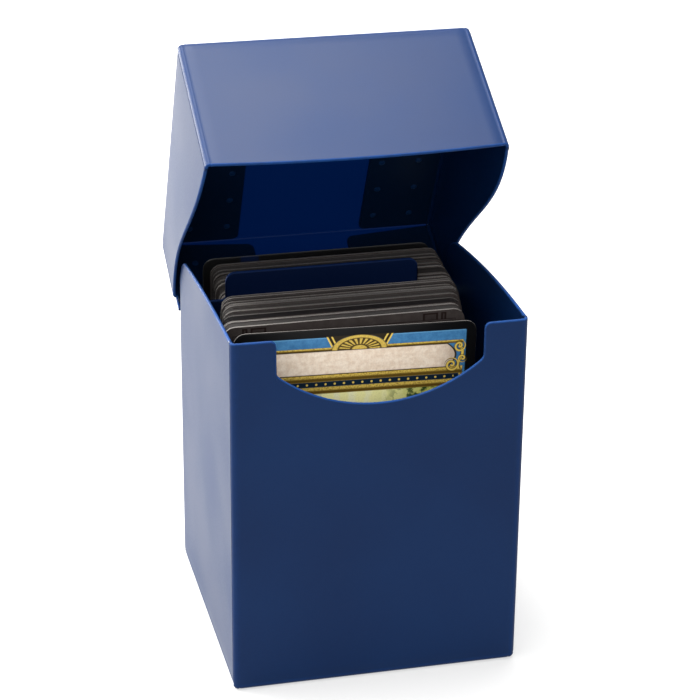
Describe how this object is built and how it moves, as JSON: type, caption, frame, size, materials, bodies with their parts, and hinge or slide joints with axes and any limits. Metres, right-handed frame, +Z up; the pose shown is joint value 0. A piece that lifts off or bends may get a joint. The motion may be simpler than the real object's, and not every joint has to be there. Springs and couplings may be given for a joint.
{
  "type": "card deck box",
  "caption": "Flip-top deck box folded from dark blue plastic sheet, with a thumb notch, a hinged lid, a divider and a deck of cards inside.",
  "frame": {"origin": "middle of the box's underside", "axes": "+X to the right seen from the front, +Y from the front to the hinge at the rear, +Z up"},
  "size_m": [0.0772, 0.0967, 0.1532],
  "materials": {
    "blue_sheet": "fine satin polypropylene sheet, dark blue, brighter at its cut edges",
    "divider_sheet": "satin polypropylene sheet, navy",
    "card_face": "printed coated card with a dark border",
    "card_stack": "edges of coated card stock, grey",
    "dark_card": "coated card printed near black"
  },
  "bodies": {
    "box": {"front_panel": "blue_sheet", "back_panel": "blue_sheet", "bottom_panel": "blue_sheet", "rear_weld_spots": "blue_sheet", "bottom_weld_spots": "blue_sheet", "living_hinge": "blue_sheet", "left_front_lip": "blue_sheet", "right_front_lip": "blue_sheet", "left_side_panel": "blue_sheet", "right_side_panel": "blue_sheet", "left_rear_tab": "blue_sheet", "right_rear_tab": "blue_sheet", "left_bottom_tab": "blue_sheet", "right_bottom_tab": "blue_sheet"},
    "lid": {"lid_back_panel": "blue_sheet", "lid_top_panel": "blue_sheet", "lid_front_panel": "blue_sheet", "lid_top_weld_spots": "blue_sheet", "lid_back_weld_spots": "blue_sheet", "left_lid_cheek": "blue_sheet", "right_lid_cheek": "blue_sheet", "left_lid_top_tab": "blue_sheet", "right_lid_top_tab": "blue_sheet", "left_lid_back_tab": "blue_sheet", "right_lid_back_tab": "blue_sheet"},
    "front_card": {"front_card": "card_face"},
    "front_cards": {"front_cards_1": "card_stack", "front_cards_2": "card_stack", "front_cards_3": "card_stack", "front_cards_4": "card_stack", "front_cards_5": "card_stack", "front_cards_6": "card_stack", "front_cards_7": "card_stack", "front_cards_8": "card_stack"},
    "divider": {"divider": "divider_sheet"},
    "rear_cards": {"rear_cards_1": "card_stack", "rear_cards_2": "card_stack", "rear_cards_3": "card_stack", "rear_cards_4": "card_stack", "rear_cards_5": "card_stack"},
    "rear_card": {"rear_card": "dark_card"}
  },
  "joints": [
    {"name": "lid_hinge", "type": "hinge", "parent": "box", "child": "lid", "pos_m": [0, 0.0375, 0.0744], "axis": [-1, 0, 0], "range_deg": [-63.6, 101.4], "deforming": ["left_front_lip", "right_front_lip"]},
    {"name": "front_card_lift", "type": "slide", "parent": "box", "child": "front_card", "axis": [0, 0, 1], "range_m": [0, 0.096]},
    {"name": "front_cards_lift", "type": "slide", "parent": "box", "child": "front_cards", "axis": [0, 0, 1], "range_m": [0, 0.04]},
    {"name": "divider_lift", "type": "slide", "parent": "box", "child": "divider", "axis": [0, 0, 1], "range_m": [0, 0.04]},
    {"name": "rear_cards_lift", "type": "slide", "parent": "box", "child": "rear_cards", "axis": [0, 0, 1], "range_m": [0, 0.03]},
    {"name": "rear_card_lift", "type": "slide", "parent": "box", "child": "rear_card", "axis": [0, 0, 1], "range_m": [0, 0.03]}
  ]
}
